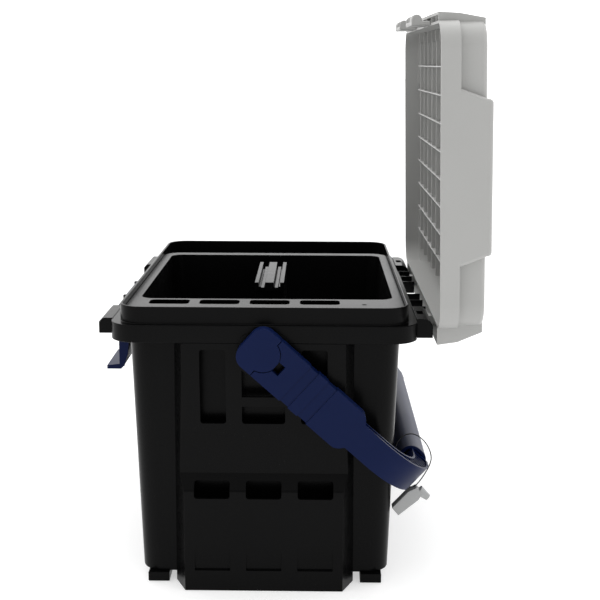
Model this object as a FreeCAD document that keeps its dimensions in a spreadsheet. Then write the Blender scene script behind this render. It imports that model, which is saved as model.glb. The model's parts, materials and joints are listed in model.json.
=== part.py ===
"""Fishing seat box: a black tub with end steps, a lift-out tray, a hinged seat lid,
a front latch and a carrying handle that swings over the ends.

Frame: the origin lies on the floor under the middle of the tub.  +X is the near end,
-Y the latch side, +Y the hinge side and +Z up.  Everything is in millimetres.
The lid is modelled shut and the handle level; each is then turned to the way it rests.
"""
import FreeCAD, Part
import Sketcher
import math
import os
import re

SIZES = {
    # tub shell
    "wall": 2.5,
    "tub_len_top": 406.0,
    "tub_wid_top": 277.8,
    "end_draft": 5.0,
    "tub_wid_low": 261.0,
    "tub_low": 10.0,
    "tub_floor": 3.0,
    "tub_round": 22.0,
    "flange_reach_x": 20.0,
    "flange_reach_y": 16.1,
    "flange_top": 282.0,
    "flange_deep": 18.0,
    "flange_round": 27.0,
    "rim_in_x": 6.0,
    "rim_in_y": 8.8,
    "rim_high": 17.5,
    "rim_round": 24.0,
    "foot_len": 24.0,
    "foot_wid": 22.5,
    "foot_out_x": 5.0,
    "foot_in_y": 7.5,
    # end panels with their steps
    "panel_wall": 3.5,
    "panel_root_half": 93.3,
    "panel_face_half": 81.6,
    "panel_flat": 34.0,
    "panel_lean": 9.5,
    "step_proud": 1.0,
    "step_edge": 109.0,
    "step_rise": 16.0,
    "step_edge_round": 7.0,
    "window_drop": 6.7,
    "window_high": 77.9,
    "window_side_in": 38.0,
    "window_side_wid": 26.0,
    "window_mid_half": 21.8,
    "window_mid_drop": 14.0,
    "window_round": 3.0,
    "bar_up": 18.6,
    "bar_high": 10.0,
    "bar_lap": 2.2,
    "bar_back": 2.4,
    "pocket_wid": 36.4,
    "pocket_pitch": 53.0,
    "pocket_drop": 8.3,
    "pocket_high": 17.7,
    "ramp_low": 22.2,
    "ramp_high": 25.6,
    "ramp_deep": 2.6,
    # lugs, hinge and its pins
    "lug_in": 126.0,
    "lug_len": 64.0,
    "front_lug_reach": 14.5,
    "front_lug_lift": 2.0,
    "lug_bevel": 4.0,
    "hinge_lug_reach": 16.6,
    "hinge_lug_drop": 1.0,
    "hinge_lug_rise": 0.8,
    "hinge_lug_round": 9.5,
    "lug_hole_at": 24.0,
    "lug_hole_len": 15.0,
    "lug_hole_wid": 6.5,
    "ladder_lift": 0.5,
    "ladder_drop": 3.5,
    "ladder_rib": 2.0,
    "ladder_first": 37.5,
    "ladder_pitch": 35.0,
    "axis_out": 5.0,
    "axis_up": 3.0,
    "hinge_pin": 4.0,
    "pin_bite_in": 5.0,
    "pin_bite_out": 22.0,
    "pin_play": 0.05,
    "arm_gap": 2.5,
    "arm_wid": 13.0,
    "arm_knuckle": 9.0,
    "arm_foot_up": 20.0,
    "arm_foot_high": 12.0,
    # lid, as it lies when shut
    "lid_open": 88.6,
    "lid_shift": -0.8,
    "lid_wall": 2.5,
    "ledge_wall": 1.6,
    "lid_in_x": 2.0,
    "lid_in_y": 3.7,
    "lid_gap": 0.4,
    "skirt_high": 19.6,
    "lid_round": 27.0,
    "crown_in": 9.0,
    "crown_high": 26.4,
    "crown_edge": 5.0,
    "pad_high": 5.0,
    "pad_edge": 4.0,
    "pad_half": 76.0,
    "bulge_out": 0.2,
    "bulge_spread": 10.4,
    "brow_gap": 1.0,
    "brow_front_reach": 4.0,
    "brow_rear_reach": 15.6,
    "brow_drop": 25.0,
    "brow_front_bow": 1.6,
    "brow_front_lean": 6.6,
    "brow_rear_bow": 2.6,
    "brow_rear_lean": 12.6,
    "gusset": 2.0,
    "gusset_up": 22.0,
    "rib": 1.6,
    "rib_pitch_x": 48.6,
    "rib_pitch_y": 30.4,
    "rib_up": 16.0,
    "rib_rim_room": 2.5,
    "rib_in_x": 14.0,
    "rib_in_y": 11.7,
    "rib_rear_gap": 4.0,
    "catch_in": 46.0,
    "catch_len": 74.0,
    "catch_block": 22.0,
    "catch_plate_at": 35.0,
    "catch_plate": 3.0,
    "catch_drop": 1.4,
    "catch_knob": 10.8,
    "catch_lap": 2.0,
    "catch_arm": 4.2,
    "catch_reach": 11.1,
    "catch_round": 5.2,
    "catch_play": 2.0,
    # latch
    "latch_out": 8.5,
    "latch_up": 7.0,
    "latch_pin": 4.0,
    "latch_half": 37.8,
    "latch_barrel": 10.0,
    "latch_skin": 2.5,
    "bracket_play": 0.7,
    "bracket_ear": 5.0,
    "bracket_plate": 2.0,
    "hook_out": 5.0,
    "hook_down": 21.0,
    "hook_pin": 3.0,
    "hook_barrel": 7.0,
    "hook_play": 5.3,
    # lift-out tray and its grip
    "tray_wall": 2.2,
    "tray_lip": 2.3,
    "tray_play": 0.6,
    "tray_drop": 6.5,
    "tray_far_in": 48.0,
    "bin_in_x": 64.0,
    "bin_in_y": 5.4,
    "shelf_wid": 60.0,
    "bin_deep": 66.0,
    "bin_draft": 5.0,
    "bin_round": 14.0,
    "slot_len": 41.5,
    "slot_wid": 22.0,
    "slot_pitch": 52.3,
    "slot_first": 100.6,
    "slot_gap": 5.6,
    "slot_round": 5.0,
    "peg_hole": 5.0,
    "peg_hole_side": 102.2,
    "peg_hole_in": 20.8,
    "grip_far": 66.0,
    "grip_near": 68.4,
    "grip_overhang": 12.0,
    "grip_half": 16.3,
    "grip_rise": 3.5,
    "grip_groove": 7.0,
    "grip_low_bar": 4.2,
    "grip_low_bar_in": 5.7,
    "grip_side_bar": 4.3,
    "grip_mid_half": 4.8,
    # handle, laid level with its pivot on the origin
    "pivot_drop": 8.0,
    "handle_drop": 42.0,
    "handle_gap": 2.2,
    "handle_thick": 13.0,
    "stud": 16.0,
    "stud_play": 0.05,
    "stud_gap": 0.4,
    "stud_cover": 4.4,
    "pad_half_wid": 24.0,
    "pad_below": 22.0,
    "pad_above": 18.0,
    "pad_thick": 1.7,
    "pad_round": 9.0,
    "arm_half": 23.5,
    "arm_end": 22.0,
    "arm_end_round": 14.0,
    "hub_split": 4.0,
    "hub_disc": 34.6,
    "hub_gap": 0.8,
    "tongue_len": 34.0,
    "tongue_half": 12.0,
    "notch_in": 17.0,
    "notch_len": 8.0,
    "notch_half": 5.8,
    "bar_behind": 56.1,
    "bar_wid": 23.0,
    "arm_skin": 2.5,
    "neck_len": 78.0,
    "shoulder_len": 7.0,
    "shoulder_round": 12.0,
    "neck_half": 15.5,
    "band_deep": 1.0,
    "band_from": 43.0,
    "band_one": 11.0,
    "band_rise": 12.5,
    "band_two": 12.0,
    "bar_bevel": 6.0,
    "bend_round": 68.0,
    "bend_inner_round": 42.0,
    "neck_rib": 1.6,
    "neck_rib_from": 8.0,
    "neck_rib_pitch": 9.0,
    "bend_rib_from": 9.0,
    "bend_rib_pitch": 7.0,
    "grip_in_x": 38.0,
    "grip_back": 6.0,
    "grip_front": 1.0,
    "grip_under": 16.0,
    "grip_over": 20.0,
    "grip_round": 13.0,
    "grip_wall": 4.0,
    # elastic loop and the toggle on it
    "loop_x": 172.0,
    "loop_thick": 1.2,
    "toggle_wid": 12.0,
    "toggle_peg_base": 5.6,
    "toggle_peg_tip": 3.4,
    "toggle_peg_len": 13.0,
}

# Places and lengths that follow from the sizes above
WORKED = {
    "tub_len_low": "tub_len_top - 2*end_draft",
    "flange_len": "tub_len_top + 2*flange_reach_x",
    "flange_wid": "tub_wid_top + 2*flange_reach_y",
    "flange_low": "flange_top - flange_deep",
    "rim_len": "flange_len - 2*rim_in_x",
    "rim_wid": "flange_wid - 2*rim_in_y",
    "rim_top": "flange_top + rim_high",
    "foot_out": "tub_len_low/2 + foot_out_x",
    "foot_side": "tub_wid_low/2 - foot_in_y",
    "panel_root": "tub_len_low/2",
    "panel_flat_low": "flange_low - panel_flat",
    "panel_foot_face": "flange_len/2 - panel_lean",
    "step_face": "flange_len/2 + step_proud",
    "step_back": "step_edge + step_rise",
    "window_top": "flange_low - window_drop",
    "window_low": "window_top - window_high",
    "window_side_out": "window_side_in + window_side_wid",
    "window_mid_top": "flange_low - window_mid_drop",
    "bar_low": "window_low + bar_up",
    "bar_face": "flange_len/2 - bar_back",
    "pocket_low": "step_edge - pocket_drop",
    "lug_out": "lug_in + lug_len",
    "front_lug_face": "flange_wid/2 + front_lug_reach",
    "front_lug_low": "flange_low + front_lug_lift",
    "hinge_lug_face": "flange_wid/2 + hinge_lug_reach",
    "hinge_lug_low": "flange_low - hinge_lug_drop",
    "hinge_lug_top": "flange_top + hinge_lug_rise",
    "lug_hole_in": "lug_in + lug_hole_at",
    "lug_hole_near": "flange_wid/2 + wall",
    "ladder_low": "flange_low + ladder_lift",
    "ladder_top": "flange_top - ladder_drop",
    "axis_y": "flange_wid/2 + axis_out",
    "axis_z": "flange_low + axis_up",
    "arm_out": "lug_in - arm_gap",
    "arm_in": "arm_out - arm_wid",
    "hinge_pin_in": "arm_in - pin_bite_in",
    "hinge_pin_out": "lug_in + pin_bite_out",
    "arm_foot_low": "axis_z + arm_foot_up",
    "arm_foot_top": "arm_foot_low + arm_foot_high",
    "lid_low": "flange_top + lid_gap",
    "lid_len": "flange_len - 2*lid_in_x",
    "lid_wid": "flange_wid - 2*lid_in_y",
    "lid_front": "lid_wid/2 + lid_shift",
    "lid_rear": "lid_wid/2 - lid_shift",
    "skirt_top": "flange_top + skirt_high",
    "crown_len": "lid_len - 2*crown_in",
    "crown_top": "skirt_top + crown_high",
    "pad_top": "crown_top + pad_high",
    "bulge_top_half": "pad_half + bulge_out",
    "bulge_low_half": "pad_half + bulge_spread",
    "brow_half": "lug_out + brow_gap + lid_wall",
    "brow_front": "flange_wid/2 + brow_front_reach",
    "brow_rear": "flange_wid/2 + brow_rear_reach",
    "brow_bend": "crown_top - brow_drop",
    "gusset_rear_low": "axis_z + gusset_up",
    "rib_low": "flange_top + rib_up",
    "rib_step": "rim_top + rib_rim_room",
    "rib_inner_x": "rim_len/2 - rib_in_x",
    "rib_inner_y": "rim_wid/2 - rib_in_y",
    "catch_out": "catch_in + catch_len",
    "catch_low": "flange_low - catch_drop",
    "catch_knob_top": "catch_low + catch_knob",
    "catch_back": "lid_front - catch_lap",
    "catch_front": "catch_back + catch_reach",
    "latch_y": "flange_wid/2 + latch_out",
    "latch_z": "flange_low + latch_up",
    "hook_y": "latch_y + hook_out",
    "hook_z": "latch_z - hook_down",
    "hook_half": "latch_half - latch_skin - hook_play",
    "tray_near": "rim_len/2 - wall - tray_play",
    "tray_far": "tub_len_top/2 - tray_far_in",
    "tray_half": "rim_wid/2 - wall - tray_play",
    "tray_round": "rim_round - wall - tray_play",
    "tray_top": "rim_top - tray_drop",
    "tray_under": "tray_top - tray_lip",
    "bin_far": "tub_len_top/2 - bin_in_x",
    "bin_near": "tub_len_top/2 - shelf_wid",
    "bin_half": "tub_wid_top/2 - bin_in_y",
    "bin_low": "flange_top - bin_deep",
    "slot_from": "bin_near + slot_gap",
    "grip_top": "tray_top + grip_rise",
    "grip_stem_top": "grip_top - grip_groove",
    "pivot_z": "flange_low - pivot_drop",
    "handle_in": "flange_len/2 + handle_gap",
    "handle_out": "handle_in + handle_thick",
    "stud_tip": "handle_out - stud_cover",
    "notch_out": "notch_in + notch_len",
    "bar_inner": "tub_wid_top/2 + bar_behind",
    "bar_outer": "bar_inner + bar_wid",
    "arm_wide_end": "bar_inner - neck_len",
    "arm_neck": "arm_wide_end + shoulder_len",
    "band_b": "band_from + band_one",
    "band_c": "band_b + band_rise",
    "band_d": "band_c + band_two",
    "neck_rib_first": "arm_neck + neck_rib_from",
    "grip_end": "tub_len_top/2 - grip_in_x",
    "bend_rib_first": "grip_end + bend_rib_from",
    "grip_inner": "bar_inner - grip_back",
    "grip_outer": "bar_outer + grip_front",
}

WINDOW_COLUMNS = (-1, 0, 1)
LADDER_COUNT = 3
RIB_COUNT = 4
ARM_GUSSET = 2
TRAY_SLOTS = 4
NECK_RIBS = 6
BEND_RIBS = 8

# Corners of the latch lever and its hook, outwards and upwards from the latch's pivot
CHEEK = ((-3.5, -2.5), (2.5, 4.3), (12.5, -9.0), (12.5, -81.0), (7.0, -81.0), (2.5, -66.0),
         (-0.5, -39.0), (-3.5, -9.0))
LEVER_SKIN = ((2.5, 4.3), (12.5, -9.0), (12.5, -83.0), (10.0, -83.0), (10.0, -10.0),
              (0.5, 1.5))
LEVER_TAB = ((27.0, -84.0), (27.0, -79.7), (12.5, -78.0), (8.0, -74.0), (7.0, -80.0),
             (10.5, -84.0))
HOOK = ((7.0, -23.5), (2.5, -18.5), (-2.7, -31.0), (-4.2, -49.0), (-1.5, -63.0),
        (3.5, -72.0), (5.5, -70.0), (1.5, -60.5), (-0.8, -49.0), (0.5, -34.0))

# Corners of the toggle and turning points of the elastic loop, as (y, z) on the finished box
TOGGLE = ((134.6, 74.0), (141.5, 65.5), (162.5, 83.0), (166.5, 90.5), (160.3, 97.0),
          (151.5, 92.5))
PEG_FROM = (163.0, 92.3)
PEG_TURN = -129.0
SLOT_Y = (140.0, 180.0)
SLOT_Z = (94.6, 100.0)
LOOP = ((135.2, 109.8), (136.2, 139.0), (142.0, 151.0), (154.0, 156.5), (167.0, 149.0),
        (175.5, 134.0), (175.2, 121.0), (160.6, 96.7), (151.2, 95.2))
# Share of the shorter side that each of the loop's corners rounds off
LOOP_SETBACK = 0.45

doc = FreeCAD.newDocument("SeatBox")
sheet = doc.addObject("Spreadsheet::Sheet", "Sizes")
for row, (alias, value) in enumerate(SIZES.items(), start=1):
    sheet.set(f"A{row}", alias)
    sheet.set(f"B{row}", str(value))
    sheet.setAlias(f"B{row}", alias)
doc.recompute()

worked = doc.addObject("App::VarSet", "Worked")
for name in WORKED:
    worked.addProperty("App::PropertyFloat", name)

nodes = []


def formula(text):
    """Turn plain names of sizes into references to the sheet and to what is worked out."""
    def reference(word):
        name = word.group()
        if name in SIZES:
            return "Sizes." + name
        return "Worked." + name if name in WORKED else name
    return re.sub(r"[a-z][a-z_]+[a-z]", reference, str(text))


def size(name):
    """A size's number, for radii and for picking edges."""
    return float(sheet.get(name)) if name in SIZES else getattr(worked, name)


def bind(thing, prop, text):
    thing.setExpression(prop, formula(text))


for name, text in WORKED.items():
    bind(worked, name, text)
doc.recompute()


def block(name, x, y, z):
    """A box between two formulas along each axis."""
    box = doc.addObject("Part::Box", name)
    for prop, (low, high) in zip(("Length", "Width", "Height"), (x, y, z)):
        bind(box, prop, f"({high}) - ({low})")
    for axis, (low, high) in zip("xyz", (x, y, z)):
        bind(box, f"Placement.Base.{axis}", low)
    return box


def rod(name, y, z, radius, x):
    """A round bar along X."""
    bar = doc.addObject("Part::Cylinder", name)
    bar.Placement.Rotation = FreeCAD.Rotation(FreeCAD.Vector(0, 1, 0), 90)
    bind(bar, "Radius", radius)
    bind(bar, "Height", f"({x[1]}) - ({x[0]})")
    bind(bar, "Placement.Base.x", x[0])
    bind(bar, "Placement.Base.y", y)
    bind(bar, "Placement.Base.z", z)
    return bar


def tapered(name, low, high, z):
    """A block whose X and Y spans change from the low level to the high one."""
    wedge = doc.addObject("Part::Wedge", name)
    wedge.Placement.Rotation = FreeCAD.Rotation(FreeCAD.Vector(1, 0, 0), 90)
    bind(wedge, "Ymin", z[0])
    bind(wedge, "Ymax", z[1])
    for suffix, ((x0, x1), half) in (("", low), ("2", high)):
        bind(wedge, f"X{suffix}min", x0)
        bind(wedge, f"X{suffix}max", x1)
        bind(wedge, f"Z{suffix}min", f"-({half})")
        bind(wedge, f"Z{suffix}max", half)
    return wedge


def outline(name, plane, points, span):
    """A closed outline of formula pairs, drawn in a plane and pushed along the third axis."""
    turn = {"YZ": FreeCAD.Rotation(FreeCAD.Vector(1, 1, 1), 120),
            "XZ": FreeCAD.Rotation(FreeCAD.Vector(1, 0, 0), 90),
            "XY": FreeCAD.Rotation()}[plane]
    normal = {"YZ": "x", "XZ": "y", "XY": "z"}[plane]
    sketch = doc.addObject("Sketcher::SketchObject", name + "_outline")
    sketch.Placement.Rotation = turn
    count = len(points)
    for index in range(count):
        here = FreeCAD.Vector(index, index * index, 0)
        there = FreeCAD.Vector(index + 1, (index + 1) ** 2, 0)
        sketch.addGeometry(Part.LineSegment(here, there), False)
    for index in range(count):
        sketch.addConstraint(Sketcher.Constraint("Coincident", index, 2, (index + 1) % count, 1))
    for index, pair in enumerate(points):
        for kind, text in zip(("DistanceX", "DistanceY"), pair):
            at = sketch.addConstraint(Sketcher.Constraint(kind, -1, 1, index, 1, 1.0 + index))
            bind(sketch, f"Constraints[{at}]", text)
    bind(sketch, f"Placement.Base.{normal}", span[0])
    solid = doc.addObject("Part::Extrusion", name)
    solid.Base = sketch
    solid.DirMode = "Custom"
    solid.Dir = FreeCAD.Vector(*[float(axis == normal) for axis in "xyz"])
    bind(solid, "LengthFwd", f"({span[1]}) - ({span[0]})")
    solid.Solid = True
    return solid


def rounded(name, base, radius, chooser):
    """Round the edges that the chooser picks on a finished shape."""
    doc.recompute()
    fillet = doc.addObject("Part::Fillet", name)
    fillet.Base = base
    fillet.Edges = [(index, radius, radius) for index, edge in enumerate(base.Shape.Edges, 1)
                    if chooser(edge)]
    return fillet


def along(axis):
    """Pick the straight edges that run along one axis, allowing for draft."""
    def chooser(edge):
        if len(edge.Vertexes) != 2:
            return False
        run = edge.Vertexes[1].Point - edge.Vertexes[0].Point
        return abs(run[axis]) > 0.9 * run.Length
    return chooser


def corner(axis, across, near):
    """Pick the edges along one axis that pass a point in the plane across it."""
    def chooser(edge):
        middle = edge.valueAt((edge.FirstParameter + edge.LastParameter) / 2)
        return along(axis)(edge) and all(
            abs(middle[index] - value) < 0.6 for index, value in zip(across, near))
    return chooser


def level(height):
    """Pick the edges that lie at one height."""
    def chooser(edge):
        return all(abs(vertex.Point.z - height) < 0.01 for vertex in edge.Vertexes)
    return chooser


def cut(name, base, *tools):
    tool = tools[0] if len(tools) == 1 else fuse(name + "_tools", *tools)
    piece = doc.addObject("Part::Cut", name)
    piece.Base = base
    piece.Tool = tool
    return piece


def fuse(name, *shapes):
    piece = doc.addObject("Part::MultiFuse", name)
    piece.Shapes = list(shapes)
    return piece


def common(name, *shapes):
    piece = doc.addObject("Part::MultiCommon", name)
    piece.Shapes = list(shapes)
    return piece


def mirrored(name, source):
    """The far end's copy of a near piece."""
    piece = doc.addObject("Part::Mirroring", name)
    piece.Source = source
    piece.Normal = FreeCAD.Vector(1, 0, 0)
    return piece


def node(piece, label):
    piece.Label = label
    nodes.append(piece)
    return piece


def pair(piece, label):
    """A piece at the near end and its mirror image at the far end."""
    node(piece, label + "_near")
    node(mirrored(label + "_copy", piece), label + "_far")


def turned(piece, angle, y, z):
    """Turn a finished piece about an axis along X."""
    piece.Placement.Rotation = FreeCAD.Rotation(FreeCAD.Vector(1, 0, 0), 1)
    bind(piece, "Placement.Rotation.Angle", angle)
    bind(piece, "Placement.Base.y", f"({y}) - (({y}) * cos({angle}) - ({z}) * sin({angle}))")
    bind(piece, "Placement.Base.z", f"({z}) - (({y}) * sin({angle}) + ({z}) * cos({angle}))")
    return piece


def swung(piece):
    """Carry a handle piece from level at the origin to its pivot, hanging down behind."""
    piece.Placement.Rotation = FreeCAD.Rotation(FreeCAD.Vector(1, 0, 0), -1)
    bind(piece, "Placement.Rotation.Angle", "-handle_drop")
    bind(piece, "Placement.Base.z", "pivot_z")
    return piece


def opened(piece):
    return turned(piece, "-lid_open", "axis_y", "axis_z")


def rounded_block(name, half_x, half_y, z, radius, shift="0"):
    """A flat block with rounded upright corners."""
    raw = block(name + "_raw", (f"-({half_x})", half_x),
                (f"-({half_y}) - ({shift})", f"({half_y}) - ({shift})"), z)
    return rounded(name, raw, radius, along(2))


def window(name, x, y, z):
    """A cutter for a window through an end panel."""
    return rounded(name, block(name + "_raw", x, y, z), size("window_round"), along(0))


def make_tub():
    outer = rounded("tub_outer", tapered(
        "tub_outer_raw", (("-tub_len_low/2", "tub_len_low/2"), "tub_wid_low/2"),
        (("-tub_len_top/2", "tub_len_top/2"), "tub_wid_top/2"),
        ("tub_low", "flange_top")), size("tub_round"), along(2))
    inner = rounded("tub_inner", tapered(
        "tub_inner_raw", (("-tub_len_low/2 + wall", "tub_len_low/2 - wall"),
                          "tub_wid_low/2 - wall"),
        (("-tub_len_top/2 + wall", "tub_len_top/2 - wall"), "tub_wid_top/2 - wall"),
        ("tub_low + tub_floor", "flange_top")), size("tub_round") - size("wall"), along(2))
    flange = rounded_block("flange", "flange_len/2", "flange_wid/2",
                           ("flange_low", "flange_top"), size("flange_round"))
    gap = rounded_block("flange_gap", "flange_len/2 - wall", "flange_wid/2 - wall",
                        ("flange_low - wall", "flange_top - wall"),
                        size("flange_round") - size("wall"))
    rim = rounded_block("rim", "rim_len/2", "rim_wid/2", ("flange_top", "rim_top"),
                        size("rim_round"))
    rim_inner = rounded_block("rim_inner", "rim_len/2 - wall", "rim_wid/2 - wall",
                              ("flange_top", "rim_top + wall"),
                              size("rim_round") - size("wall"))
    notches = [block(f"catch_notch_{side}",
                     (f"{low} - catch_play", f"{high} + catch_play"),
                     ("-flange_wid/2 - wall", "-catch_back + catch_play"),
                     ("flange_low - wall", "flange_top + wall"))
               for side, low, high in (("near", "catch_in", "catch_out"),
                                       ("far", "-catch_out", "-catch_in"))]
    solid = fuse("tub_solid", outer, flange, rim)
    node(cut("tub_body", solid, cut("flange_channel", gap, outer), inner, rim_inner, *notches),
         "tub_body")
    return outer


def make_feet():
    for label, side in (("front", ("-foot_side", "-foot_side + foot_wid")),
                        ("rear", ("foot_side - foot_wid", "foot_side"))):
        pair(block(f"foot_{label}", ("foot_out - foot_len", "foot_out"), side,
                   ("0", "tub_low")), f"foot_{label}")


def make_end_panels(tub_outer):
    def pod(name, wall):
        splay = doc.addObject("Part::Wedge", name + "_splay")
        splay.Placement.Rotation = FreeCAD.Rotation(FreeCAD.Vector(0, 0, 1), -90)
        for prop, text in (("Ymin", "panel_root"), ("Ymax", "step_face"),
                           ("Xmin", f"-panel_root_half + {wall}"),
                           ("Xmax", f"panel_root_half - {wall}"),
                           ("X2min", f"-panel_face_half + {wall}"),
                           ("X2max", f"panel_face_half - {wall}"),
                           ("Zmin", "-panel_wall"), ("Z2min", "-panel_wall"),
                           ("Zmax", "flange_low"), ("Z2max", "flange_low")):
            bind(splay, prop, text)
        low = "0" if wall == "0" else "-panel_wall"
        face = f"step_face - {wall}"
        profile = outline(name + "_profile", "XZ", (
            ("panel_root", low), (face, low), (face, f"step_edge - {wall}/2"),
            (f"panel_foot_face - {wall}", f"step_back - {wall}/2"),
            (f"flange_len/2 - {wall}", "panel_flat_low"),
            (f"flange_len/2 - {wall}", f"flange_low - {wall}"),
            ("panel_root", f"flange_low - {wall}")),
            ("-panel_root_half", "panel_root_half"))
        shaped = rounded(name + "_rounded", profile, size("step_edge_round"), corner(
            1, (0, 2), (size("step_face") - size("panel_wall") * (wall != "0"),
                        size("step_edge") - size("panel_wall") / 2 * (wall != "0"))))
        return common(name, splay, shaped)

    face = ("panel_foot_face - 2*panel_wall", "step_face + panel_wall")
    cutters = [
        window("window_front", face, ("-window_side_out", "-window_side_in"),
               ("window_low", "window_top")),
        window("window_rear", face, ("window_side_in", "window_side_out"),
               ("window_low", "window_top")),
        window("window_mid", face, ("-window_mid_half", "window_mid_half"),
               ("window_low", "window_mid_top")),
    ]
    for column in WINDOW_COLUMNS:
        across = (f"{column}*pocket_pitch - pocket_wid/2", f"{column}*pocket_pitch + pocket_wid/2")
        cutters.append(window(f"pocket_{column + 1}", face, across,
                              ("pocket_low", "pocket_low + pocket_high")))
        cutters.append(outline(f"ramp_{column + 1}", "XZ", (
            ("step_face", "ramp_low + ramp_high"), ("step_face - ramp_deep", "ramp_low"),
            ("step_face + panel_wall", "ramp_low"),
            ("step_face + panel_wall", "ramp_low + ramp_high")),
            across))
    shell = cut("panel_shell", pod("panel_outer", "0"), pod("panel_inner", "panel_wall"),
                tub_outer, *cutters)
    bar = block("panel_bar", ("bar_face - panel_wall", "bar_face"),
                ("-window_mid_half - bar_lap", "window_mid_half + bar_lap"),
                ("bar_low", "bar_low + bar_high"))
    pair(fuse("end_panel", shell, bar), "end_panel")


def make_lugs():
    lug = outline("front_lug", "YZ", (
        ("-flange_wid/2", "front_lug_low"), ("-flange_wid/2", "flange_top"),
        ("-front_lug_face + lug_bevel", "flange_top"),
        ("-front_lug_face", "flange_top - lug_bevel"),
        ("-front_lug_face", "front_lug_low")), ("lug_in", "lug_out"))
    pair(lug, "front_lug")

    raw = block("hinge_lug_raw", ("lug_in", "lug_out"), ("flange_wid/2", "hinge_lug_face"),
                ("hinge_lug_low", "hinge_lug_top"))
    lug = rounded("hinge_lug_round", raw, size("hinge_lug_round"),
                  corner(0, (1, 2), (size("hinge_lug_face"), size("hinge_lug_top"))))
    hole = block("lug_hole", ("lug_hole_in", "lug_hole_in + lug_hole_len"),
                 ("lug_hole_near", "lug_hole_near + lug_hole_wid"),
                 ("hinge_lug_low - wall", "hinge_lug_top + wall"))
    bore = rod("hinge_bore", "axis_y", "axis_z", "hinge_pin/2 + pin_play",
               ("hinge_pin_in - wall", "hinge_pin_out + pin_play"))
    pair(cut("hinge_lug", lug, hole, bore), "hinge_lug")

    last = f"ladder_first + {LADDER_COUNT - 1}*ladder_pitch + ladder_rib/2"
    pieces = [block("ladder_strip", (f"-({last})", last),
                    ("flange_wid/2", "flange_wid/2 + ladder_rib"), ("ladder_low", "ladder_top"))]
    for side in (-1, 1):
        for index in range(LADDER_COUNT):
            middle = f"{side}*(ladder_first + {index}*ladder_pitch)"
            pieces.append(block(f"ladder_rib_{index}_{side + 1}",
                                (f"{middle} - ladder_rib/2", f"{middle} + ladder_rib/2"),
                                ("flange_wid/2", "hinge_lug_face"),
                                ("ladder_low", "ladder_top")))
    node(cut("hinge_ladder", fuse("ladder_all", *pieces), bore,
             mirrored("hinge_bore_far", bore)), "hinge_ladder")
    pair(rod("hinge_pin_near", "axis_y", "axis_z", "hinge_pin/2",
             ("hinge_pin_in", "hinge_pin_out")), "hinge_pin")


def lid_body(name, wall):
    """The lid's outside when wall is 0, and the room inside it when wall is its thickness."""
    inside = wall != "0"
    thick = size("lid_wall") * inside
    ledge = "ledge_wall" if inside else "0"
    low = "flange_top - lid_wall" if inside else "lid_low"
    skirt = rounded_block(name + "_skirt", f"lid_len/2 - {wall}", f"lid_wid/2 - {wall}",
                          (low, f"skirt_top - {ledge}"), size("lid_round") - thick,
                          "lid_shift")
    crown = rounded_block(name + "_crown", f"crown_len/2 - {wall}", f"lid_wid/2 - {wall}",
                          (f"skirt_top - {ledge}", f"crown_top - {wall}"),
                          size("lid_round") - thick, "lid_shift")
    pad = block(name + "_pad", (f"-lid_len/2 + {wall}", f"lid_len/2 - {wall}"),
                (f"-pad_half + {wall}", f"pad_half - {wall}"),
                (f"skirt_top - {ledge}", f"pad_top - {wall}"))
    bulge = tapered(name + "_bulge",
                    ((f"-lid_len/2 + {wall}", f"lid_len/2 - {wall}"), f"bulge_low_half - {wall}"),
                    ((f"-lid_len/2 + {wall}", f"lid_len/2 - {wall}"), f"bulge_top_half - {wall}"),
                    (f"skirt_top - {ledge}", f"crown_top - {wall}"))
    if not inside:
        crown = rounded(name + "_crown_edge", crown, size("crown_edge"),
                        level(size("crown_top")))
        pad = rounded(name + "_pad_edge", pad, size("pad_edge"),
                      lambda edge: along(2)(edge) or level(size("pad_top"))(edge))
        bulge = rounded(name + "_bulge_edge", bulge, size("pad_edge"), along(2))
    return fuse(name, skirt, crown, pad, bulge)


def brow(name, side, wall):
    """The lid's overhang on one long side, or the channel in it."""
    edge = "-lid_front" if side < 0 else "lid_rear"
    low = "flange_top - lid_wall" if wall != "0" else "lid_low"
    if side < 0:
        face, bend, top = ("-brow_front", "-brow_front + brow_front_bow",
                           "-brow_front + brow_front_lean")
    else:
        face, bend, top = ("brow_rear", "brow_rear - brow_rear_bow",
                           "brow_rear - brow_rear_lean")
    root = edge if wall != "0" else f"{edge} - {side}*crown_edge"
    points = ((root, low), (f"{face} - {side}*{wall}", low),
              (f"{bend} - {side}*{wall}", f"brow_bend - {wall}/2"),
              (f"{top} - {side}*{wall}/2", f"crown_top - 1.5*{wall}"),
              (root, f"crown_top - 1.5*{wall}"))
    if side < 0:
        points = points[::-1]
    return outline(name, "YZ", points, (f"-brow_half + {wall}", f"brow_half - {wall}"))


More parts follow.
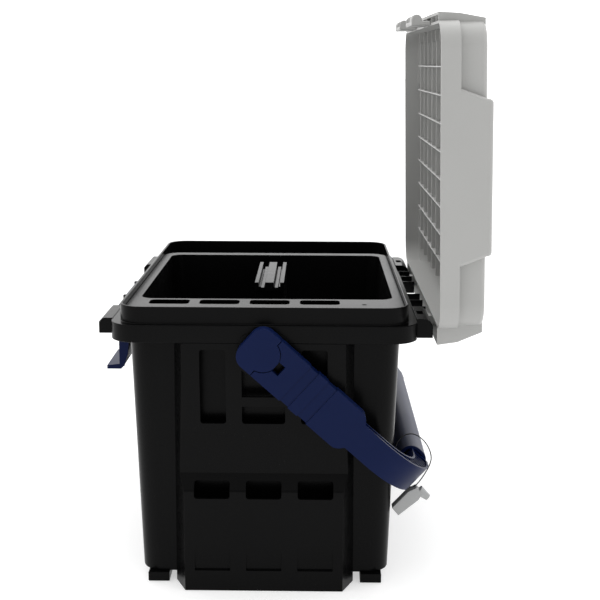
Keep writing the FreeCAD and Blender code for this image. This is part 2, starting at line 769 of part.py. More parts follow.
def make_lid():
    inside = lid_body("lid_room", "lid_wall")
    gussets = []
    for side in (-1, 1):
        for index in range(RIB_COUNT):
            middle = f"{side}*({index} + 0.5)*rib_pitch_x"
            span = (f"{middle} - gusset/2", f"{middle} + gusset/2")
            gussets.append(block(f"gusset_front_{index}_{side + 1}", span,
                                 ("-brow_front + brow_front_bow + lid_wall/2", "-lid_front"),
                                 ("lid_low", "brow_bend - lid_wall/2")))
            low = "arm_foot_top" if index == ARM_GUSSET else "gusset_rear_low"
            gussets.append(block(f"gusset_rear_{index}_{side + 1}", span,
                                 ("lid_rear", "brow_rear - brow_rear_bow - lid_wall/2"),
                                 (low, "brow_bend - lid_wall/2")))
    solid = fuse("lid_solid", lid_body("lid_outer", "0"), brow("brow_front", -1, "0"),
                 brow("brow_rear", 1, "0"))
    hollow = cut("lid_hollow", solid, inside, brow("channel_front", -1, "lid_wall"),
                 brow("channel_rear", 1, "lid_wall"))
    node(opened(fuse("lid_shell", hollow, *gussets)), "lid_shell")

    plates = []
    for side in (-1, 1):
        for index in range(RIB_COUNT):
            middle = f"{side}*({index} + 0.5)*rib_pitch_x"
            plates.append(block(f"cross_rib_{index}_{side + 1}",
                                (f"{middle} - rib/2", f"{middle} + rib/2"),
                                ("-lid_front", "rib_inner_y - rib_rear_gap"),
                                ("rib_low", "pad_top")))
            middle = f"{side}*({index} + 0.5)*rib_pitch_y"
            plates.append(block(f"long_rib_{index}_{side + 1}", ("-lid_len/2", "lid_len/2"),
                                (f"{middle} - rib/2", f"{middle} + rib/2"),
                                ("rib_low", "pad_top")))
    frame = block("rim_room", ("-lid_len/2", "lid_len/2"), ("-lid_wid/2 - lid_wall", "lid_wid/2"),
                  ("flange_top", "rib_step"))
    middle = block("rim_room_middle", ("-rib_inner_x", "rib_inner_x"),
                   ("-rib_inner_y", "rib_inner_y"), ("flange_top", "rib_step"))
    grid = common("rib_grid_in_lid", fuse("rib_plates", *plates), inside)
    node(opened(cut("lid_rib_grid", grid, cut("rim_clearance", frame, middle))), "lid_rib_grid")


def make_lid_catches():
    back = ("-catch_back - catch_arm", "-catch_back")
    arm = block("catch_arm_slab", ("catch_in", "catch_out"), back, ("catch_low", "lid_low"))
    knobs = []
    for name, low, high in (("block", "catch_out - catch_block", "catch_out"),
                            ("middle", "catch_in + catch_plate_at",
                             "catch_in + catch_plate_at + catch_plate"),
                            ("inner", "catch_in", "catch_in + catch_plate")):
        raw = block(f"catch_{name}_raw", (low, high), ("-catch_front", "-catch_back"),
                    ("catch_low", "catch_knob_top"))
        face = -size("catch_front")
        low_edge = corner(0, (1, 2), (face, size("catch_low")))
        top_edge = corner(0, (1, 2), (face, size("catch_knob_top")))
        knobs.append(rounded(f"catch_{name}", raw, size("catch_round"),
                             lambda edge, a=low_edge, b=top_edge: a(edge) or b(edge)))
    pair(opened(fuse("lid_catch", arm, *knobs)), "lid_catch")


def make_lid_hinge_arms():
    span = ("arm_in", "arm_out")
    knuckle = rod("arm_knuckle", "axis_y", "axis_z", "arm_knuckle/2", span)
    web = block("arm_web", span, ("axis_y - arm_knuckle/2", "axis_y + arm_knuckle/2"),
                ("axis_z", "arm_foot_top"))
    foot = block("arm_foot", span, ("lid_rear", "axis_y + arm_knuckle/2"),
                 ("arm_foot_low", "arm_foot_top"))
    bore = rod("arm_bore", "axis_y", "axis_z", "hinge_pin/2 + pin_play", span)
    pair(opened(cut("lid_hinge_arm", fuse("arm_solid", knuckle, web, foot), bore)),
         "lid_hinge_arm")


def from_latch(points):
    """Corners on the finished box, from corners measured outwards and up from the pivot."""
    return [(f"-latch_y - ({out})", f"latch_z + ({up})") for out, up in points]


def make_latch():
    ear_in = "latch_half + bracket_play"
    ear_out = "latch_half + bracket_play + bracket_ear"
    plate = block("bracket_plate", (f"-({ear_out})", ear_out),
                  ("-flange_wid/2 - bracket_plate", "-flange_wid/2"),
                  ("ladder_low", "ladder_top"))
    ears = [block(f"bracket_ear_{name}", span, ("-latch_y - latch_barrel/2", "-flange_wid/2"),
                  ("latch_z - latch_barrel/2", "latch_z + latch_barrel/2"))
            for name, span in (("near", (ear_in, ear_out)),
                               ("far", (f"-({ear_out})", f"-({ear_in})")))]
    bore = rod("latch_bore", "-latch_y", "latch_z", "latch_pin/2 + pin_play",
               (f"-({ear_out}) - wall", f"{ear_out} + wall"))
    node(cut("latch_bracket", fuse("bracket_solid", plate, *ears), bore), "latch_bracket")
    node(rod("latch_pin", "-latch_y", "latch_z", "latch_pin/2", (f"-({ear_out})", ear_out)),
         "latch_pin")

    half = ("-latch_half", "latch_half")
    pieces = [rod("latch_barrel", "-latch_y", "latch_z", "latch_barrel/2", half),
              outline("lever_skin", "YZ", from_latch(LEVER_SKIN), half),
              outline("lever_tab", "YZ", from_latch(LEVER_TAB), half)]
    for name, span in (("near", ("latch_half - latch_skin", "latch_half")),
                       ("far", ("-latch_half", "-latch_half + latch_skin"))):
        pieces.append(outline(f"lever_cheek_{name}", "YZ", from_latch(CHEEK), span))
    hook_bore = rod("hook_bore", "-hook_y", "hook_z", "hook_pin/2 + pin_play", half)
    node(cut("latch_lever", fuse("lever_solid", *pieces), bore, hook_bore), "latch_lever")
    node(rod("hook_pin", "-hook_y", "hook_z", "hook_pin/2", half), "hook_pin")

    half = ("-hook_half", "hook_half")
    solid = fuse("hook_solid", rod("hook_barrel", "-hook_y", "hook_z", "hook_barrel/2", half),
                 outline("hook_plate", "YZ", from_latch(HOOK), half))
    node(cut("latch_hook", solid, hook_bore), "latch_hook")


def make_tray():
    def lip_shape(name, wall, low, high):
        raw = block(name + "_raw", (f"-tray_far + {wall}", f"tray_near - {wall}"),
                    (f"-tray_half + {wall}", f"tray_half - {wall}"), (low, high))
        thick = size("tray_wall") * (wall == "tray_wall")
        return rounded(name, raw, size("tray_round") - thick, along(2))

    lip = cut("tray_lip_ring", lip_shape("tray_lip_block", "0", "flange_top", "tray_top"),
              lip_shape("tray_lip_room", "tray_wall", "flange_top - wall", "tray_under"))

    def bin_shape(name, out, low):
        return rounded(name, tapered(
            name + "_raw",
            ((f"-bin_far + bin_draft - {out}", f"bin_near - bin_draft + {out}"),
             f"bin_half - bin_draft + {out}"),
            ((f"-bin_far - {out}", f"bin_near + {out}"), f"bin_half + {out}"),
            (low, "tray_top")), size("bin_round"), along(2))

    slots = []
    for index in range(TRAY_SLOTS):
        middle = f"-slot_first + {index}*slot_pitch"
        raw = block(f"tray_slot_{index}_raw", ("slot_from", "slot_from + slot_wid"),
                    (f"{middle} - slot_len/2", f"{middle} + slot_len/2"),
                    ("tray_under - wall", "tray_top + wall"))
        slots.append(rounded(f"tray_slot_{index}", raw, size("slot_round"), along(2)))
    hole = doc.addObject("Part::Cylinder", "tray_peg_hole")
    for prop, text in (("Radius", "peg_hole/2"), ("Height", "tray_lip + 2*wall"),
                       ("Placement.Base.x", "slot_from + peg_hole_in"),
                       ("Placement.Base.y", "peg_hole_side"),
                       ("Placement.Base.z", "tray_under - wall")):
        bind(hole, prop, text)
    solid = fuse("tray_solid", lip, bin_shape("bin_outer", "tray_wall", "bin_low"))
    node(cut("inner_tray", solid, bin_shape("bin_inner", "0", "bin_low + tray_wall"), hole,
             *slots), "inner_tray")

    floor = "bin_low + tray_wall"
    stem_x = ("-grip_far + grip_overhang", "grip_near - grip_overhang")
    stem = block("grip_stem", stem_x, ("-grip_half", "grip_half"), (floor, "grip_stem_top"))
    room = block("grip_stem_room", (f"{stem_x[0]} + wall", f"{stem_x[1]} - wall"),
                 ("-grip_half + wall", "grip_half - wall"), (floor, "grip_stem_top - wall"))
    bars = []
    for name, low, high, top in (
            ("front", "-grip_half", "-grip_half + grip_side_bar", "grip_top"),
            ("middle", "-grip_mid_half", "grip_mid_half", "grip_top"),
            ("rear", "grip_half - grip_side_bar", "grip_half", "grip_top"),
            ("low_front", "-grip_low_bar_in - grip_low_bar", "-grip_low_bar_in",
             "grip_stem_top + wall/2"),
            ("low_rear", "grip_low_bar_in", "grip_low_bar_in + grip_low_bar",
             "grip_stem_top + wall/2")):
        bars.append(block(f"grip_bar_{name}", ("-grip_far", "grip_near"), (low, high),
                          ("grip_stem_top - wall", top)))
    node(fuse("tray_grip", cut("grip_stem_shell", stem, room), *bars), "tray_grip")


def make_handle():
    across = ("handle_in", "handle_out")
    raw = block("hub_raw", across, ("-arm_end", "hub_split"), ("-arm_half", "arm_half"))
    ends = [corner(0, (1, 2), (-size("arm_end"), side * size("arm_half"))) for side in (-1, 1)]
    hub = rounded("hub_end", raw, size("arm_end_round"),
                  lambda edge: ends[0](edge) or ends[1](edge))
    disc = rod("hub_disc", "0", "0", "hub_disc/2", across)
    tongue = block("hub_tongue", ("handle_in + arm_skin", "handle_out - arm_skin"),
                   ("0", "tongue_len"), ("-tongue_half", "tongue_half"))
    bore = rod("hub_bore", "0", "0", "stud/2 + stud_play",
               ("handle_in - wall", "stud_tip + stud_gap"))
    notch = block("hub_notch", ("handle_in - wall", "handle_out + wall"),
                  ("notch_in", "notch_out"), ("-notch_half", "notch_half"))
    pair(swung(cut("handle_hub", fuse("hub_solid", hub, disc, tongue), bore, notch)),
         "handle_hub")

    blunt = outline("arm_wide_blunt", "YZ", (
        ("hub_split + hub_gap", "-arm_half"), ("arm_wide_end", "-arm_half"),
        ("arm_neck", "-neck_half"), ("arm_neck", "neck_half"), ("arm_wide_end", "arm_half"),
        ("hub_split + hub_gap", "arm_half")), across)
    ends = [corner(0, (1, 2), (size("arm_wide_end"), side * size("arm_half")))
            for side in (-1, 1)]
    wide = rounded("arm_wide", blunt, size("shoulder_round"),
                   lambda edge: ends[0](edge) or ends[1](edge))
    seat = rod("hub_seat", "0", "0", "hub_disc/2 + hub_gap", across)
    pocket = block("arm_pocket", ("handle_in", "handle_out - arm_skin"),
                   ("hub_split + hub_gap", "arm_wide_end - arm_skin"),
                   ("-arm_half + arm_skin", "arm_half - arm_skin"))
    bands = []
    for name, span in (("first", ("band_from", "band_b")), ("last", ("band_c", "band_d"))):
        bands.append(block(f"arm_band_{name}", ("handle_out - band_deep", "handle_out + wall"),
                           span, ("-arm_half - wall", "arm_half + wall")))
        bands.append(block(f"arm_band_{name}_low", ("handle_in - wall", "handle_out + wall"),
                           span, ("-arm_half - wall", "-arm_half + band_deep")))
        bands.append(block(f"arm_band_{name}_high", ("handle_in - wall", "handle_out + wall"),
                           span, ("arm_half - band_deep", "arm_half + wall")))

    def plan(name, skin, low, high):
        """The narrow arm and the bend behind the tub, seen from above."""
        start = "arm_neck" if skin == "arm_skin" else "arm_neck - arm_skin"
        raw = outline(name + "_raw", "XY", (
            (f"handle_in + {skin}", start), (f"handle_out - {skin}", start),
            (f"handle_out - {skin}", f"bar_outer - {skin}"),
            (f"grip_end + {skin}", f"bar_outer - {skin}"),
            (f"grip_end + {skin}", f"bar_inner + {skin}"),
            (f"handle_in + {skin}", f"bar_inner + {skin}")), (low, high))
        thick = size("arm_skin") * (skin == "arm_skin")
        outer = rounded(name + "_bend", raw, size("bend_round") - thick, corner(
            2, (0, 1), (size("handle_out") - thick, size("bar_outer") - thick)))
        return rounded(name, outer, size("bend_inner_round") + thick, corner(
            2, (0, 1), (size("handle_in") + thick, size("bar_inner") + thick)))

    neck = plan("neck_solid", "0", "-neck_half", "neck_half")
    room = plan("neck_room", "arm_skin", "-neck_half + arm_skin", "neck_half + wall")
    bevel = outline("bar_bevel_cut", "YZ", (
        ("bar_inner - wall", "-neck_half - wall"),
        ("bar_inner + bar_bevel + wall", "-neck_half - wall"),
        ("bar_inner - wall", "-neck_half + bar_bevel + wall")),
        ("grip_end", "handle_in - bend_inner_round"))
    plates = [block(f"neck_rib_{index}", across,
                    (f"neck_rib_first + {index}*neck_rib_pitch",
                     f"neck_rib_first + {index}*neck_rib_pitch + neck_rib"),
                    ("-neck_half + arm_skin", "neck_half - wall/2"))
              for index in range(NECK_RIBS)]
    plates += [block(f"bend_rib_{index}",
                     (f"bend_rib_first + {index}*bend_rib_pitch",
                      f"bend_rib_first + {index}*bend_rib_pitch + neck_rib"),
                     ("bar_inner - bend_inner_round/2", "bar_outer"),
                     ("-neck_half + arm_skin", "neck_half - wall/2"))
               for index in range(BEND_RIBS)]
    ribs = common("neck_ribs", fuse("neck_plates", *plates), room)
    hollow = cut("arm_hollow", fuse("arm_whole", wide, neck), seat, pocket, room, notch, bevel,
                 *bands)
    pair(swung(fuse("handle_arm", hollow, ribs)), "handle_arm")

    def grip_bar(name, wall, end):
        raw = block(name + "_raw", (f"-grip_end - {end}", f"grip_end + {end}"),
                    (f"grip_inner + {wall}", f"grip_outer - {wall}"),
                    (f"-grip_under + {wall}", f"grip_over - {wall}"))
        thick = size("grip_wall") * (wall == "grip_wall")
        return rounded(name, raw, size("grip_round") - thick, along(0))

    node(swung(cut("handle_grip", grip_bar("grip_outside", "0", "0"),
                   grip_bar("grip_bore", "grip_wall", "wall"))), "handle_grip")


def make_pivots():
    pad_raw = block("pivot_pad_raw", ("flange_len/2", "flange_len/2 + pad_thick"),
                    ("-pad_half_wid", "pad_half_wid"),
                    ("pivot_z - pad_below", "pivot_z + pad_above"))
    pad = rounded("pivot_pad", pad_raw, size("pad_round"), along(0))
    stud = rod("pivot_stud", "0", "pivot_z", "stud/2", ("flange_len/2", "stud_tip"))
    pair(fuse("handle_pivot", pad, stud), "handle_pivot")


def make_loop_and_toggle():
    corners = [FreeCAD.Vector(size("loop_x"), y, z) for y, z in LOOP]
    count = len(corners)
    edges, arcs, radii = [], [], []
    for index, here in enumerate(corners):
        before = here - corners[index - 1]
        after = corners[(index + 1) % count] - here
        turn = before.getAngle(after)
        setback = LOOP_SETBACK * min(before.Length, after.Length)
        radii.append(setback / math.tan(turn / 2))
        start = here - before.normalize() * setback
        end = here + after.normalize() * setback
        inward = (end - here).normalize() + (start - here).normalize()
        reach = radii[-1] / math.cos(turn / 2) - radii[-1]
        middle = here + inward.normalize() * reach
        arcs.append((start, middle, end))
    for index, (start, middle, end) in enumerate(arcs):
        edges.append(Part.Arc(start, middle, end).toShape())
        edges.append(Part.LineSegment(end, arcs[(index + 1) % count][0]).toShape())
    path = Part.Wire(edges)
    print("loop radii", [round(radius, 1) for radius in radii], "length", round(path.Length, 1))
    start = arcs[0][0]
    along_path = arcs[0][0] - arcs[-1][2]
    ring = Part.Wire(Part.makeCircle(size("loop_thick") / 2, start, along_path))
    loop = doc.addObject("Part::Feature", "elastic_loop")
    loop.Shape = path.makePipeShell([ring], True, False)
    print("loop volume ratio", round(loop.Shape.Volume / (
        path.Length * math.pi * size("loop_thick") ** 2 / 4), 4))
    node(loop, "elastic_loop")

    span = ("loop_x - toggle_wid/2", "loop_x + toggle_wid/2")
    body = outline("toggle_body", "YZ", TOGGLE, span)
    slot = block("toggle_slot", ("loop_x - loop_thick", "loop_x + loop_thick"),
                 SLOT_Y, SLOT_Z)
    node(cut("toggle_plate", body, slot), "toggle_plate")
    peg = doc.addObject("Part::Cone", "toggle_peg_cone")
    peg.Placement.Rotation = FreeCAD.Rotation(FreeCAD.Vector(1, 0, 0), PEG_TURN)
    for prop, text in (("Radius1", "toggle_peg_base"), ("Radius2", "toggle_peg_tip"),
                       ("Height", "toggle_peg_len"), ("Placement.Base.x", "loop_x"),
                       ("Placement.Base.y", PEG_FROM[0]), ("Placement.Base.z", PEG_FROM[1])):
        bind(peg, prop, text)
    node(cut("toggle_peg", peg, body), "toggle_peg")


def check_and_write():
    doc.recompute()
    for thing in doc.Objects:
        bad = [state for state in thing.State if state in ("Invalid", "Error")]
        if bad:
            raise RuntimeError(f"{thing.Name} is {bad}")
    os.makedirs("parts", exist_ok=True)
    for piece in nodes:
        shape = piece.Shape
        if shape.isNull() or not shape.isValid():
            raise RuntimeError(f"{piece.Label} has no valid shape")
    for piece in nodes:
        piece.Shape.exportStep(f"parts/{piece.Label}.step")
        box = piece.Shape.BoundBox
        print(f"{piece.Label:20s} solids {len(piece.Shape.Solids)}"
              f" volume {piece.Shape.Volume:10.0f}"
              f" x {box.XMin:7.1f} {box.XMax:7.1f} y {box.YMin:7.1f} {box.YMax:7.1f}"
              f" z {box.ZMin:7.1f} {box.ZMax:7.1f}")


tub_outer = make_tub()
make_feet()
make_end_panels(tub_outer)
make_lugs()
make_lid()
make_lid_catches()
make_lid_hinge_arms()
make_latch()
make_tray()
make_handle()
make_pivots()
make_loop_and_toggle()
check_and_write()
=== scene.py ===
# %% [markdown]
# # A fishing seat box, dressed for its portrait
#
# This lesson dresses a moulded fishing box: a black tub with an end step and a lift-out tray,
# a pale grey lid that stands open, a navy latch and a navy carrying handle. The construction
# comes in ready-made as a frame of named solids. Our work is the finish: softened edges, the
# grain of each plastic, the elastic loop, and the light.

# %% The frame
import json
import math

import bpy
from mathutils import Matrix, Vector


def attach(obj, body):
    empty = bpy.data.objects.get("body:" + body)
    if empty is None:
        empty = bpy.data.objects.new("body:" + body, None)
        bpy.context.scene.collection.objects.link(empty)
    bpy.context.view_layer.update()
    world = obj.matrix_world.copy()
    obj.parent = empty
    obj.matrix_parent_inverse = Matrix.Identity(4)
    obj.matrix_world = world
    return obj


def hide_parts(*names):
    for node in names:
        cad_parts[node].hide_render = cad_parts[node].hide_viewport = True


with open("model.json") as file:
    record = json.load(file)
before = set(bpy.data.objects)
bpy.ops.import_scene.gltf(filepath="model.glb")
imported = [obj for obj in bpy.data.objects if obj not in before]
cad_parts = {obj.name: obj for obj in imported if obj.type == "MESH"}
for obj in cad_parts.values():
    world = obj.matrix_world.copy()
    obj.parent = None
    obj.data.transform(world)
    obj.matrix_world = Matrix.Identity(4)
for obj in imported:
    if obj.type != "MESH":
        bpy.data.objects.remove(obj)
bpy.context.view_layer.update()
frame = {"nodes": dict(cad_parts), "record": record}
MM = 0.001
print("nodes in the frame:", len(frame["nodes"]))

# %% [markdown]
# ## Plain shader maths
#
# A material is a graph, and long chains of Math nodes are hard to read. A small class wraps a
# socket, so that `0.4 + 0.1 * grain` adds the nodes for us. Anything that isn't plain maths
# comes from one method that takes the node's type, its settings and what its sockets hold.


# %% Shader helpers
class Wire:
    """A number socket that can be written in an expression."""

    def __init__(self, paint, socket):
        self.paint = paint
        self.socket = socket

    def _join(self, operation, first, second):
        return self.paint.node("ShaderNodeMath", {"operation": operation}, {0: first, 1: second})

    def __add__(self, other):
        return self._join("ADD", self, other)

    def __radd__(self, other):
        return self._join("ADD", other, self)

    def __sub__(self, other):
        return self._join("SUBTRACT", self, other)

    def __rsub__(self, other):
        return self._join("SUBTRACT", other, self)

    def __mul__(self, other):
        return self._join("MULTIPLY", self, other)

    def __rmul__(self, other):
        return self._join("MULTIPLY", other, self)


class Paint:
    """One material, built node by node around a Principled shader."""

    def __init__(self, name):
        self.material = bpy.data.materials.new(name)
        self.material.use_nodes = True
        self.tree = self.material.node_tree
        self.shader = self.tree.nodes["Principled BSDF"]
        self.place = self.node("ShaderNodeTexCoord", output="Object")

    @classmethod
    def on_tree(cls, tree):
        """The same helpers on a node tree that isn't a material's, such as the world's."""
        paint = cls.__new__(cls)
        paint.tree = tree
        return paint

    def node(self, kind, settings=None, inputs=None, output=0):
        made = self.tree.nodes.new(kind)
        for key, value in (settings or {}).items():
            setattr(made, key, value)
        self.fill(made, inputs or {})
        return Wire(self, made.outputs[output])

    def fill(self, made, inputs):
        for key, value in inputs.items():
            if isinstance(value, Wire):
                self.tree.links.new(value.socket, made.inputs[key])
            else:
                made.inputs[key].default_value = value

    def noise(self, size, detail=2.0):
        """Cloudy noise whose blobs are about this many metres across."""
        return self.node("ShaderNodeTexNoise", None,
                         {"Vector": self.place, "Scale": 1 / size, "Detail": detail})

    def ramp(self, factor, low, high):
        """Stretch the middle of a noise to the whole range from low to high."""
        return self.node("ShaderNodeMapRange", {"clamp": True},
                         {"Value": factor, "From Min": 0.3, "From Max": 0.7,
                          "To Min": low, "To Max": high})

    def mix(self, factor, first, second):
        made = self.tree.nodes.new("ShaderNodeMix")
        made.data_type = "RGBA"
        self.fill(made, {0: factor, 6: first, 7: second})
        return Wire(self, made.outputs[2])

    def bump(self, height, depth, strength=1.0):
        return self.node("ShaderNodeBump", None,
                         {"Height": height, "Distance": depth, "Strength": strength})

    def surface(self, **inputs):
        named = {key.replace("_", " "): value for key, value in inputs.items()}
        self.fill(self.shader, named)
        return self.material


# %% [markdown]
# ## Moulded plastic
#
# All the big pieces are injection-moulded polypropylene. Its surface has the fine spark-eroded
# grain of the mould, slow waves where the melt cooled unevenly, and a sheen that changes a
# little from place to place. The same recipe serves the black, the pale grey and the navy: only
# the colour, the gloss and the depth of the grain change.


# %% Plastic finishes
GRAIN_SIZE, WAVE_SIZE, CLOUD_SIZE = 0.0007, 0.035, 0.12
GRAIN_STRENGTH, WAVE_STRENGTH, WAVE_DEPTH = 0.6, 0.35, 0.0003
PATCH_ROUGHNESS, GRAIN_ROUGHNESS = 0.06, 0.05
PATCH_SHARE = 0.65


def plastic(name, colour, tint, rough, grain_depth, specular):
    """A moulded plastic. tint is the colour of its paler, drier patches."""
    paint = Paint(name)
    grain = paint.noise(GRAIN_SIZE, 3.0)
    waves = paint.noise(WAVE_SIZE, 2.0)
    clouds = paint.noise(CLOUD_SIZE, 4.0)
    patch = paint.ramp(clouds, 0.0, 1.0)
    fine = paint.ramp(grain, 0.0, 1.0)
    colour_now = paint.mix(patch * PATCH_SHARE + fine * (1 - PATCH_SHARE),
                           (*colour, 1), (*tint, 1))
    roughness = rough + PATCH_ROUGHNESS * (patch - 0.5) + GRAIN_ROUGHNESS * (fine - 0.5)
    grain_bump = paint.bump(grain, grain_depth, GRAIN_STRENGTH)
    normal = paint.node("ShaderNodeBump", None,
                        {"Height": waves, "Distance": WAVE_DEPTH, "Strength": WAVE_STRENGTH,
                         "Normal": grain_bump})
    paint.fill(paint.shader, {"Specular IOR Level": specular})
    return paint.surface(Base_Color=colour_now, Roughness=roughness, Normal=normal)


FINISH = {
    "black_plastic": plastic("black_plastic", (0.0016, 0.0016, 0.0017), (0.0024, 0.0024, 0.0025),
                             0.26, 0.00002, 0.07),
    "grey_plastic": plastic("grey_plastic", (0.385, 0.385, 0.375), (0.415, 0.415, 0.405),
                            0.46, 0.00003, 0.40),
    "navy_plastic": plastic("navy_plastic", (0.0024, 0.0070, 0.038), (0.0034, 0.0094, 0.050),
                            0.36, 0.00002, 0.08),
    "pale_grey_plastic": plastic("pale_grey_plastic", (0.36, 0.365, 0.365), (0.41, 0.415, 0.415),
                                 0.42, 0.00003, 0.45),
}


def drawn_steel():
    """Bright wire with faint lines along it."""
    paint = Paint("steel")
    stretched = paint.node("ShaderNodeMapping", None,
                           {"Vector": paint.place, "Scale": (40.0, 2500.0, 2500.0)})
    lines = paint.node("ShaderNodeTexNoise", None, {"Vector": stretched, "Scale": 1.0})
    shade = paint.mix(lines, (0.5, 0.51, 0.53, 1), (0.62, 0.63, 0.65, 1))
    return paint.surface(Base_Color=shade, Metallic=1.0, Roughness=0.28 + 0.1 * lines,
                         Normal=paint.bump(lines, 0.00002))


def elastic_cord():
    """A thin black elastic with a soft sheen and the ridges of its sleeve."""
    paint = Paint("elastic")
    threads = paint.node("ShaderNodeTexWave", {"wave_type": "BANDS"},
                         {"Vector": paint.place, "Scale": 900.0, "Distortion": 1.5})
    shade = paint.mix(threads, (0.006, 0.006, 0.007, 1), (0.02, 0.02, 0.022, 1))
    return paint.surface(Base_Color=shade, Roughness=0.6 + 0.1 * threads,
                         Normal=paint.bump(threads, 0.0001))


FINISH["steel"] = drawn_steel()
FINISH["elastic"] = elastic_cord()

# %% [markdown]
# ## Softened edges
#
# No moulding has a razor edge. The tool's corners are broken by half a millimetre or more, and
# that thin rounding is what catches the light and draws the object's outline. So each piece is a
# copy of its solid: its triangles are merged, its flat faces are dissolved back into whole ones,
# and a Bevel modifier rounds every edge that turns by more than a third of a right angle. Then
# the normals are weighted by area, so that a wide face stays flat and only its edges shine.

# %% Softened copies of the solids
SOFT_EDGE = {"black_plastic": 0.8, "grey_plastic": 1.1, "navy_plastic": 1.1,
             "pale_grey_plastic": 0.6, "steel": 0.3, "elastic": 0.1}
FINER = {"inner_tray": 0.5, "lid_rib_grid": 0.35, "hinge_ladder": 0.4, "latch_bracket": 0.4,
         "handle_pivot_near": 0.25, "handle_pivot_far": 0.25, "latch_hook": 0.5}
SHARP_ENOUGH = math.radians(28)
SMOOTH_BELOW = math.radians(35)
FLAT_ENOUGH = math.radians(0.6)
MERGE_GAP = 0.02 * MM
BEVEL_STEPS = 2


def only(piece):
    """Make one object the selected and active one."""
    if bpy.context.object and bpy.context.object.mode != "OBJECT":
        bpy.ops.object.mode_set(mode="OBJECT")
    bpy.ops.object.select_all(action="DESELECT")
    piece.select_set(True)
    bpy.context.view_layer.objects.active = piece


def paint_with(piece, slot):
    piece.data.materials.clear()
    piece.data.materials.append(FINISH[slot])


def soften(node, slot, body, width):
    """Replace a solid with a copy whose edges are rounded by this many millimetres."""
    source = frame["nodes"][node]
    piece = bpy.data.objects.new(node + "_finished", source.data.copy())
    bpy.context.scene.collection.objects.link(piece)
    only(piece)
    bpy.ops.object.mode_set(mode="EDIT")
    bpy.ops.mesh.select_all(action="SELECT")
    bpy.ops.mesh.remove_doubles(threshold=MERGE_GAP)
    bpy.ops.mesh.dissolve_limited(angle_limit=FLAT_ENOUGH)
    bpy.ops.object.mode_set(mode="OBJECT")
    bevel = piece.modifiers.new("soft_edge", "BEVEL")
    bevel.width = width * MM
    bevel.segments = BEVEL_STEPS
    bevel.limit_method = "ANGLE"
    bevel.angle_limit = SHARP_ENOUGH
    bevel.use_clamp_overlap = True
    bevel.harden_normals = False
    bpy.ops.object.modifier_apply(modifier=bevel.name)
    bpy.ops.object.shade_smooth_by_angle(angle=SMOOTH_BELOW)
    flatten = piece.modifiers.new("flat_faces", "WEIGHTED_NORMAL")
    flatten.keep_sharp = True
    bpy.ops.object.modifier_apply(modifier=flatten.name)
    paint_with(piece, slot)
    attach(piece, body)
    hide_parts(node)
    return piece


slot_of = {part["node"]: part["material_slot"] for part in frame["record"]["subparts"]}
body_of = {node: body for body, members in frame["record"]["behaviour"]["bodies"].items()
           for node in members}
AS_THEY_ARE = ("elastic_loop",)
for node in sorted(frame["nodes"]):
    if node in AS_THEY_ARE:
        continue
    width = FINER.get(node, SOFT_EDGE[slot_of[node]])
    soften(node, slot_of[node], body_of[node], width)

# %% [markdown]
# ## The elastic loop
#
# A thin elastic runs from the toggle round the ribbed end of the handle and back. It is one
# smooth curve with the turning points of its solid and a round bevel for thickness. Both its
# ends lie in the toggle's slot.

# %% Elastic loop
LOOP_X = 172.0
LOOP = ((155.0, 95.8), (151.2, 95.2), (135.2, 109.8), (136.2, 139.0), (142.0, 151.0),
        (154.0, 156.5), (167.0, 149.0), (175.5, 134.0), (175.2, 121.0), (160.6, 96.7),
        (157.0, 96.1))
LOOP_THICK = 1.2


def loop_curve():
    line = bpy.data.curves.new("elastic_loop_cord", "CURVE")
    line.dimensions = "3D"
    line.bevel_depth = LOOP_THICK / 2 * MM
    line.bevel_resolution = 4
    line.resolution_u = 10
    line.use_fill_caps = True
    spline = line.splines.new("NURBS")
    spline.points.add(len(LOOP) - 1)
    for point, (y, z) in zip(spline.points, LOOP):
        point.co = (LOOP_X * MM, y * MM, z * MM, 1)
    spline.order_u = 3
    spline.use_endpoint_u = True
    piece = bpy.data.objects.new("elastic_loop_cord", line)
    bpy.context.scene.collection.objects.link(piece)
    return piece


cord = loop_curve()
cord.data.materials.append(FINISH["elastic"])
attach(cord, "handle")
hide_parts("elastic_loop")

# %% [markdown]
# ## Floor, light and camera
#
# The product stands on white paper. Behind it the paper is lit hard, which draws a bright sheen
# over every level black face that the camera sees at a low angle. On the camera's side the room
# is darker, so the upright black faces stay black. A soft lamp overhead lights the lid, and the
# paper glows a little, as if lit from below, which washes the box's shadow out of it.

# %% Floor and light
FLOOR_SIDE = 80
FLOOR_DROP = 0.0004
PAPER_GLOW = 0.5
bpy.ops.mesh.primitive_plane_add(size=FLOOR_SIDE, location=(0, 0, -FLOOR_DROP))
floor = bpy.context.object
floor.name = "floor"
floor_paint = Paint("floor")
dapple = floor_paint.noise(0.4, 2.0)
floor.data.materials.append(floor_paint.surface(
    Base_Color=floor_paint.mix(dapple, (0.62, 0.62, 0.62, 1), (0.64, 0.64, 0.64, 1)),
    Roughness=0.9, Emission_Color=(1.0, 1.0, 1.0, 1), Emission_Strength=PAPER_GLOW))

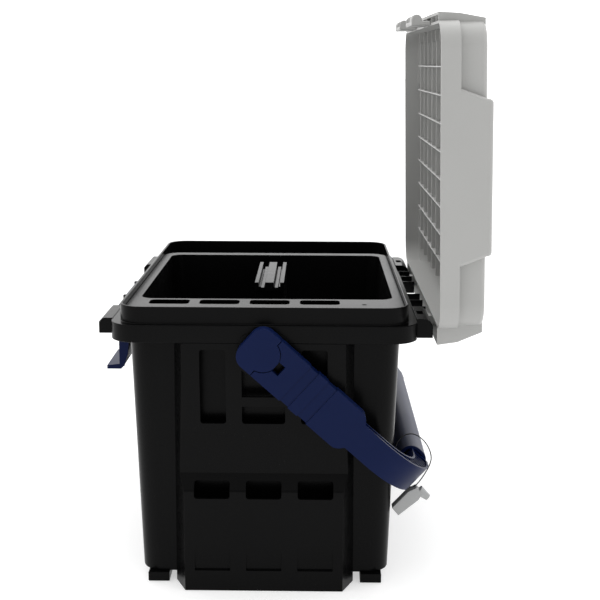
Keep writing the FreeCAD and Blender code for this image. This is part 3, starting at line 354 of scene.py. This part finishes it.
NEAR_SIDE, FAR_SIDE, HINGE_SIDE, OVERHEAD = 0.38, 1.6, 0.22, 0.32
world = bpy.data.worlds.new("studio")
bpy.context.scene.world = world
world.use_nodes = True
sky = Paint.on_tree(world.node_tree)
direction = sky.node("ShaderNodeTexCoord", output="Generated")
towards_near, towards_hinge, upward = [
    sky.node("ShaderNodeSeparateXYZ", None, {0: direction}, output=axis) for axis in range(3)]
sky.fill(world.node_tree.nodes["Background"], {
    "Color": (1.0, 1.0, 1.0, 1),
    "Strength": NEAR_SIDE + (FAR_SIDE - NEAR_SIDE) * (0.5 - 0.5 * towards_near)
    + HINGE_SIDE * towards_hinge
    + OVERHEAD * sky.node("ShaderNodeMath", {"operation": "MAXIMUM"}, {0: upward, 1: 0.0})})


def lamp(name, place, target, size, power):
    """A square soft lamp that looks at a point."""
    light = bpy.data.lights.new(name, "AREA")
    light.size = size
    light.energy = power
    holder = bpy.data.objects.new(name, light)
    bpy.context.scene.collection.objects.link(holder)
    holder.location = place
    aim = Vector(target) - Vector(place)
    holder.rotation_euler = aim.to_track_quat("-Z", "Y").to_euler()
    return holder


lamp("overhead", (-0.3, -0.2, 2.4), (0, 0, 0.2), 2.2, 20)
lamp("left_fill", (1.6, -2.2, 1.6), (0, 0, 0.3), 1.6, 5)

# %% Camera
CAMERA_PLACE = (1327.724, 49.609, 537.405)
CAMERA_YAW, CAMERA_PITCH, CAMERA_ROLL = 0.0120164, 0.2041215, 0.0042288
FOCAL_IN_PIXELS = 1145.593
PHOTO_SIDE = 600
SENSOR = 36.0

ahead = Vector((-math.cos(CAMERA_PITCH) * math.cos(CAMERA_YAW),
                -math.cos(CAMERA_PITCH) * math.sin(CAMERA_YAW), -math.sin(CAMERA_PITCH)))
level_right = ahead.cross(Vector((0, 0, 1))).normalized()
level_up = level_right.cross(ahead)
right = math.cos(CAMERA_ROLL) * level_right + math.sin(CAMERA_ROLL) * level_up
up = -math.sin(CAMERA_ROLL) * level_right + math.cos(CAMERA_ROLL) * level_up
lens = bpy.data.cameras.new("camera")
lens.sensor_width = SENSOR
lens.lens = FOCAL_IN_PIXELS / PHOTO_SIDE * SENSOR
lens.clip_start = 0.05
lens.clip_end = 60
camera = bpy.data.objects.new("camera", lens)
bpy.context.scene.collection.objects.link(camera)
turn = Matrix((right, up, -ahead)).transposed().to_4x4()
camera.matrix_world = Matrix.Translation(Vector(CAMERA_PLACE) * MM) @ turn
bpy.context.scene.camera = camera
bpy.context.scene.view_settings.view_transform = "Standard"
